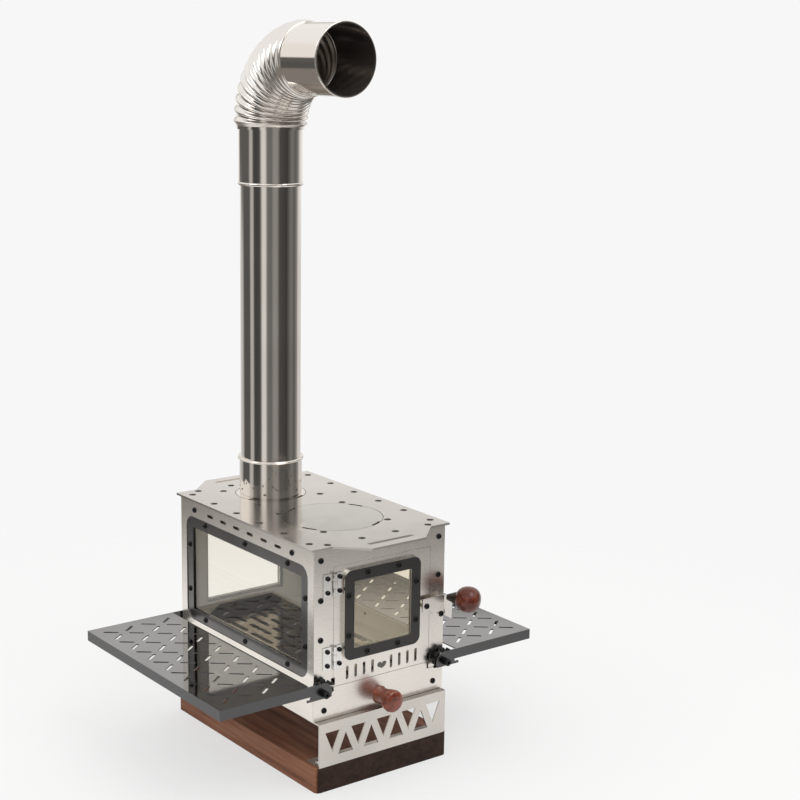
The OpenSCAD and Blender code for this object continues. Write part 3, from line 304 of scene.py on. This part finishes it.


# Blackened steel, polished on its upper face and duller on its edges. Every face but the upper one is
# painted darker, as shade
def blackened(name, edge, top, edge_rough, top_rough):
    m, tree, shader = material(name)
    shader.inputs["Metallic"].default_value = 1
    normal = node(tree, "ShaderNodeNewGeometry").outputs["Normal"]
    up = smooth(tree, split(tree, normal)["Z"], *FACING_UP)
    cloud = noise(tree, EVEN, scale=12, detail=3)
    polish = ramp(tree, cloud, [(0.3, tuple(DARKER * v for v in top)), (0.7, top)])
    link(tree, mixed(tree, up, (*edge, 1), polish), shader.inputs["Base Color"])
    link(tree, spread(tree, up, edge_rough, top_rough), shader.inputs["Roughness"])
    return m


# Painted shade, black on one side of a place along an axis: on top of the deck, and near the firebox's
# front
def paint_shade(mat, axis, clean_at, black_at):
    tree = mat.node_tree
    shader = tree.nodes["Principled BSDF"]
    own_colour = shader.inputs["Base Color"].links[0].from_socket
    shaded = smooth(tree, split(tree, object_place(tree))[axis], clean_at, black_at)
    link(tree, mixed(tree, shaded, own_colour, PAINTED_SHADE), shader.inputs["Base Color"])


# Steel painted darker and duller inside a radius round the outlet's axis, as shade inside the outlet
def shaded_inside(name, colour, rough, inside_rough, inside_metallic):
    m, tree, shader = material(name)
    flat = node(tree, "ShaderNodeVectorMath", operation="MULTIPLY_ADD")
    flat.inputs[1].default_value = (1, 0, 1)
    flat.inputs[2].default_value = (0, 0, -BEND_Z - BEND_R)
    link(tree, object_place(tree), flat.inputs[0])
    away = length(tree, flat.outputs["Vector"])
    outside = smooth(tree, away, INSIDE_SHADE_R, INSIDE_SHADE_R + INSIDE_SHADE_EDGE)
    link(tree, mixed(tree, outside, INSIDE_SHADE, (*colour, 1)), shader.inputs["Base Color"])
    link(tree, spread(tree, outside, inside_metallic, 1), shader.inputs["Metallic"])
    link(tree, spread(tree, outside, inside_rough, rough), shader.inputs["Roughness"])
    return m


# Dark painted face that looks along Y, with bright cut edges
def edged(name, face, edge, edge_rough, face_rough, face_metallic):
    m, tree, shader = material(name)
    flat = facing_y(tree)
    fine = speckle(tree)
    paint = ramp(tree, fine, [(0.3, face), (0.75, paler(face))])
    link(tree, mixed(tree, flat, (*edge, 1), paint), shader.inputs["Base Color"])
    link(tree, spread(tree, flat, 1, face_metallic), shader.inputs["Metallic"])
    link(tree, spread(tree, flat, edge_rough, face_rough), shader.inputs["Roughness"])
    bump(tree, shader, fine, depth=0.00002)
    return m


def painted(name, colour, rough, metallic):
    m, tree, shader = material(name)
    shader.inputs["Metallic"].default_value = metallic
    fine = speckle(tree)
    link(tree, ramp(tree, fine, [(0.3, colour), (0.75, paler(colour))]), shader.inputs["Base Color"])
    low, high = PAINT_ROUGHNESS
    link(tree, spread(tree, fine, rough * low, rough * high), shader.inputs["Roughness"])
    bump(tree, shader, fine, depth=0.00003)
    return m


# Wood with a wavy grain, under a coat of varnish where coat is more than zero
def wood(name, dark, middle, light, stretch, scale, rough, coat, end_shade=None):
    m, tree, shader = material(name)
    where = stretched_place(tree, stretch)
    warp = node(tree, "ShaderNodeTexNoise", Scale=scale * WARP_SCALE, Detail=3.0)
    link(tree, where, warp.inputs["Vector"])
    wavy = node(tree, "ShaderNodeMixRGB", Fac=WARP_SHARE)
    link(tree, where, wavy.inputs["Color1"])
    link(tree, warp.outputs["Color"], wavy.inputs["Color2"])
    grain = node(tree, "ShaderNodeTexNoise", Scale=scale, Detail=8.0, Roughness=0.65)
    link(tree, wavy.outputs["Color"], grain.inputs["Vector"])
    colour = ramp(tree, grain.outputs["Fac"], [(0.32, dark), (0.5, middle), (0.68, light)])
    if end_shade:
        # End grain drinks more oil and turns darker
        shade = node(tree, "ShaderNodeMixRGB", blend_type="MULTIPLY", Color2=(*end_shade, 1))
        link(tree, facing_y(tree), shade.inputs["Fac"])
        link(tree, colour, shade.inputs["Color1"])
        colour = shade.outputs["Color"]
    link(tree, colour, shader.inputs["Base Color"])
    low, high = WOOD_ROUGHNESS
    link(tree, spread(tree, grain.outputs["Fac"], rough * low, rough * high), shader.inputs["Roughness"])
    bump(tree, shader, grain.outputs["Fac"], depth=0.00006)
    shader.inputs["Specular IOR Level"].default_value = 0.2
    shader.inputs["Coat Weight"].default_value = coat
    shader.inputs["Coat Roughness"].default_value = 0.12
    return m


# Glass with a thin film of smoke, which makes it rougher in places
def glass(name, tint, clearness=1.0):
    m, tree, shader = material(name)
    shader.inputs["Base Color"].default_value = (*tint, 1)
    shader.inputs["Transmission Weight"].default_value = clearness
    shader.inputs["IOR"].default_value = 1.45
    film = noise(tree, EVEN, scale=30, detail=2)
    link(tree, spread(tree, film, low=0, high=0.03), shader.inputs["Roughness"])
    return m


# Give the material to every slot of the named CAD nodes
def dress(mat, *names):
    for name in names:
        for s in NODES[name].material_slots:
            s.material = mat


def dress_sheets():
    body = steel("body_steel", (0.76, 0.715, 0.66), (0.86, 0.81, 0.75), (0.24, 0.32), LEVEL)
    dress(body, "front_frame", "rear_panel", "door_panel", "drawer_front", "latch_arm", "ash_tray")
    feet = steel("foot_steel", (0.58, 0.545, 0.50), (0.68, 0.64, 0.59), (0.22, 0.30), LEVEL)
    dress(feet, "front_foot", "rear_foot")
    side = steel("side_steel", (0.86, 0.81, 0.74), (0.95, 0.89, 0.82), (0.22, 0.30), FRONT_TO_REAR)
    dress(side, "left_panel", "right_panel")
    top = steel("top_steel", (0.80, 0.76, 0.72), (0.88, 0.84, 0.80), (0.15, 0.20), depth=0.000003)
    dress(top, "top_plate", "floor_pan")
    lid = steel("lid_steel", (0.80, 0.77, 0.73), (0.88, 0.85, 0.81), (0.13, 0.18), depth=0.000003)
    dress(lid, "burner_lid")


def dress_tables():
    # The table's edges and underside are painted darker than its top, as shade
    table = blackened("table_steel", (0.11, 0.108, 0.108), (0.295, 0.295, 0.30),
                      edge_rough=0.28, top_rough=0.045)
    dress(table, "left_table", "right_table")


def dress_flue():
    flue = steel("flue_steel", (0.78, 0.73, 0.68), (0.85, 0.80, 0.75), (0.05, 0.09), UPRIGHT,
                 scale=10, depth=0.00002)
    dress(flue, "flue_pipe", "flue_collar", "elbow_sleeve", "elbow_bend")
    # The outlet is painted darker inside, as shade
    outlet = shaded_inside("outlet_steel", (0.82, 0.77, 0.72), rough=0.07,
                           inside_rough=0.16, inside_metallic=0.9)
    dress(outlet, "elbow_outlet")


def dress_firebox():
    deck_shade = [FIREBOX_HIGH[2] - reach for reach in SHADE_FROM_DECK]
    front_shade = [FIREBOX_LOW[1] + reach for reach in SHADE_FROM_FRONT]
    inner = steel("firebox_steel", (0.82, 0.78, 0.69), (0.94, 0.90, 0.81), (0.35, 0.5), FRONT_TO_REAR,
                  depth=0.00001, metallic=0.35)
    # Painted shade: black on top of the firebox's deck and near its front
    paint_shade(inner, "Z", *deck_shade)
    paint_shade(inner, "Y", *front_shade)
    dress(inner, "firebox")
    grate = steel("grate_steel", (0.15, 0.11, 0.065), (0.26, 0.20, 0.12), (0.05, 0.09), SIDE_TO_SIDE,
                  scale=40)
    # Painted shade: black near the front of the grate
    paint_shade(grate, "Y", *front_shade)
    dress(grate, "grate")


def dress_windows():
    side_ring = steel("ring_steel", (0.13, 0.126, 0.122), (0.19, 0.184, 0.178), (0.2, 0.28), depth=0.00001)
    dress(side_ring, "left_window_ring", "right_window_ring")
    ring = edged("ring_paint", (0.038, 0.036, 0.034), (0.66, 0.64, 0.60),
                 edge_rough=0.25, face_rough=0.4, face_metallic=0.4)
    dress(ring, "rear_window_ring", "door_ring")
    clear = glass("window_glass", (0.985, 0.965, 0.915))
    dress(clear, "left_window_glass", "right_window_glass", "rear_window_glass")
    amber = glass("door_window_glass", (0.98, 0.90, 0.75), clearness=0.9)
    dress(amber, "door_glass")


def dress_fittings():
    bright = steel("bright_steel", (0.70, 0.68, 0.65), (0.82, 0.80, 0.77), (0.12, 0.2),
                   scale=80, depth=0.00001)
    dress(bright, "frame_hinge_leaves", "door_hinge_leaves", "hinge_pins", "board_screws", "plate_nuts",
          "knob_screw", "latch_spacer", "latch_catch", "table_spacers")
    screws = painted("black_screws", (0.012, 0.012, 0.012), rough=0.35, metallic=0.6)
    dress(screws, "frame_screws", "rear_screws", "panel_screws", "left_ring_screws", "right_ring_screws",
          "rear_ring_screws", "door_ring_screws", "frame_hinge_bolts", "door_hinge_bolts", "latch_pivot",
          "drawer_screws", "table_pivots", "table_stops", "foot_screws")
    dark = painted("dark_metal", (0.05, 0.04, 0.035), rough=0.35, metallic=0.7)
    dress(dark, "latch_ferrule")


def dress_wood():
    board = wood("walnut_board", (0.120, 0.042, 0.019), (0.260, 0.104, 0.054), (0.400, 0.180, 0.102),
                 BOARD_GRAIN, scale=5, rough=0.5, coat=0, end_shade=(0.11, 0.115, 0.13))
    dress(board, "base_board")
    knob = wood("turned_wood", (0.060, 0.012, 0.006), (0.130, 0.028, 0.014), (0.210, 0.052, 0.026),
                TURNED_GRAIN, scale=6, rough=0.2, coat=0.5)
    dress(knob, "latch_knob")
    # The drawer knob's wood is the latch knob's wood painted paler, as light
    lit_pull = wood("painted_light_turned_wood", (0.110, 0.022, 0.012), (0.225, 0.052, 0.029), (0.350, 0.098, 0.056),
                TURNED_GRAIN, scale=6, rough=0.2, coat=0.6)
    dress(lit_pull, "drawer_knob")


# One ring of vertices of radius r, in a plane that has turned from level by an angle
def bend_ring(bm, turn, r):
    ring = []
    for i in range(BEND_SIDES):
        a = 2 * math.pi * i / BEND_SIDES
        reach = BEND_R + r * math.cos(a)
        y = FLUE_Y - BEND_R + reach * math.cos(turn)
        z = BEND_Z + reach * math.sin(turn)
        ring.append(bm.verts.new((r * math.sin(a), y, z)))
    return ring


# All rings of the skin that lies a given depth below the bend's surface, where each rib is a wave
def bend_skin(bm, depth):
    steps = RIBS * RIB_STEPS
    rings = []
    for k in range(steps + 1):
        wave = (1 - math.cos(2 * math.pi * k / RIB_STEPS)) / 2
        r = VALLEY_R + (CREST_R - VALLEY_R) * wave - depth
        rings.append(bend_ring(bm, math.pi / 2 * k / steps, r))
    return rings


# Faces that join two rings, turned to look the other way where flipped
def band(bm, lower, upper, flipped, material_index=0):
    for i in range(BEND_SIDES):
        j = (i + 1) % BEND_SIDES
        face = [lower[i], lower[j], upper[j], upper[i]]
        bm.faces.new(face[::-1] if flipped else face).material_index = material_index


# The ribbed bend: an outer skin of steel and an inner one painted darker as shade, closed at both ends
def make_bend():
    ribs = steel("rib_steel", (0.78, 0.74, 0.70), (0.85, 0.81, 0.77), (0.09, 0.13),
                 scale=300, depth=0.000001)
    # The inner skin is painted darker, as shade inside the bend
    inner_shade = painted("inner_shade", INSIDE_SHADE[:3], rough=0.3, metallic=0.7)
    bm = bmesh.new()
    outer = bend_skin(bm, 0)
    inner = bend_skin(bm, BEND_WALL)
    for lower, upper in zip(outer, outer[1:]):
        band(bm, lower, upper, flipped=False)
    for lower, upper in zip(inner, inner[1:]):
        band(bm, lower, upper, flipped=True, material_index=1)
    band(bm, outer[0], inner[0], flipped=True)
    band(bm, outer[-1], inner[-1], flipped=False)
    mesh = finish_mesh("ribbed_bend", bm, ribs, inner_shade)
    for polygon in mesh.polygons:
        polygon.use_smooth = True
    bend = add_object("ribbed_bend", mesh)
    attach(bend, "elbow")
    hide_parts("elbow_bend")


# Pale paper that fades away from the stove. The camera and reflections see it partly as bright as the
# background, so that the stove's shadow stays and no edge shows
def paper():
    m, tree, shader = material("floor_paper")
    shader.inputs["Base Color"].default_value = FLOOR_COLOUR
    shader.inputs["Roughness"].default_value = 0.9
    shader.inputs["Specular IOR Level"].default_value = 0.1
    path = node(tree, "ShaderNodeLightPath")
    seen = maths(tree, "MAXIMUM", path.outputs["Is Camera Ray"], path.outputs["Is Glossy Ray"])
    share = maths(tree, "MULTIPLY", seen, FLOOR_SHINE)
    shine = node(tree, "ShaderNodeEmission", Color=BACKGROUND)
    sheet = mixed_shader(tree, share, shader.outputs["BSDF"], shine.outputs["Emission"])
    fade = smooth(tree, length(tree, object_place(tree)), *FLOOR_FADE)
    clear = node(tree, "ShaderNodeBsdfTransparent")
    faded = mixed_shader(tree, fade, sheet, clear.outputs["BSDF"])
    link(tree, faded, tree.nodes["Material Output"].inputs["Surface"])
    return m


def make_floor():
    bm = bmesh.new()
    bmesh.ops.create_circle(bm, cap_ends=True, radius=FLOOR_R, segments=FLOOR_SEGMENTS)
    floor = add_object("floor", finish_mesh("floor", bm, paper()))


def make_lamp(name, place, target, side, power):
    data = bpy.data.lights.new(name, "AREA")
    data.shape = "SQUARE"
    data.size = side
    data.energy = power
    turn = (Vector(target) - Vector(place)).to_track_quat("-Z", "Y").to_matrix()
    light = add_object(name, data)
    light.matrix_world = Matrix.Translation(place) @ turn.to_4x4()


# Degrees from -180 to 180 as a share of the way round
def way_round(degrees):
    return degrees / 360 + 0.5


def grey_ramp(tree, source, stops):
    return ramp(tree, source, [(place, tuple(v * tint for tint in STUDIO_TINT)) for place, v in stops])


def round_ramp(tree, source, stops):
    return grey_ramp(tree, source, [(way_round(degrees), v) for degrees, v in stops])


# Studio round the stove: strips of light and dark at eye level, a backdrop behind with a dark band and
# another beside it, a dark tone underfoot and a white ceiling
def studio(tree):
    direction = split(tree, node(tree, "ShaderNodeTexCoord").outputs["Generated"])
    height = direction["Z"]
    turn = node(tree, "ShaderNodeMapRange")
    turn.inputs["From Min"].default_value = -math.pi
    turn.inputs["From Max"].default_value = math.pi
    link(tree, maths(tree, "ARCTAN2", direction["Y"], direction["X"]), turn.inputs["Value"])
    round_share = turn.outputs["Result"]
    strips = round_ramp(tree, round_share, STRIPS)
    aside = smooth(tree, round_share, *[way_round(degrees) for degrees in SIDE_FROM])
    back = mixed(tree, aside, grey_ramp(tree, height, BACKDROP), grey_ramp(tree, height, SIDE_BACKDROP))
    behind = round_ramp(tree, round_share, BACKDROP_SHARE)
    raised = smooth(tree, height, *BACKDROP_FOOT)
    wall = mixed(tree, raised, strips, mixed(tree, behind, strips, back))
    below = smooth(tree, height, *UNDERFOOT)
    above = smooth(tree, height, *CEILING)
    return mixed(tree, above, mixed(tree, below, wall, UNDERFOOT_COLOUR), CEILING_COLOUR)


# The camera sees a plain background instead of the studio, and a white one through the windows
def make_world():
    world = bpy.data.worlds.new("studio")
    bpy.context.scene.world = world
    world.use_nodes = True
    tree = world.node_tree
    path = node(tree, "ShaderNodeLightPath")
    not_mirrored = maths(tree, "LESS_THAN", path.outputs["Glossy Depth"], 1)
    through = maths(tree, "MULTIPLY", path.outputs["Is Transmission Ray"], not_mirrored)
    seen = maths(tree, "MAXIMUM", path.outputs["Is Camera Ray"], through)
    plain = mixed(tree, path.outputs["Is Transmission Ray"], BACKGROUND, THROUGH_GLASS)
    background = tree.nodes["Background"]
    link(tree, mixed(tree, seen, studio(tree), plain), background.inputs["Color"])
    background.inputs["Strength"].default_value = 1


bpy.context.scene.view_settings.view_transform = "Standard"
make_camera()
make_world()
make_lamp("key", *KEY_LAMP)
make_lamp("fill", *FILL_LAMP)
make_floor()
dress_sheets()
dress_tables()
dress_flue()
dress_firebox()
dress_windows()
dress_fittings()
dress_wood()
make_bend()
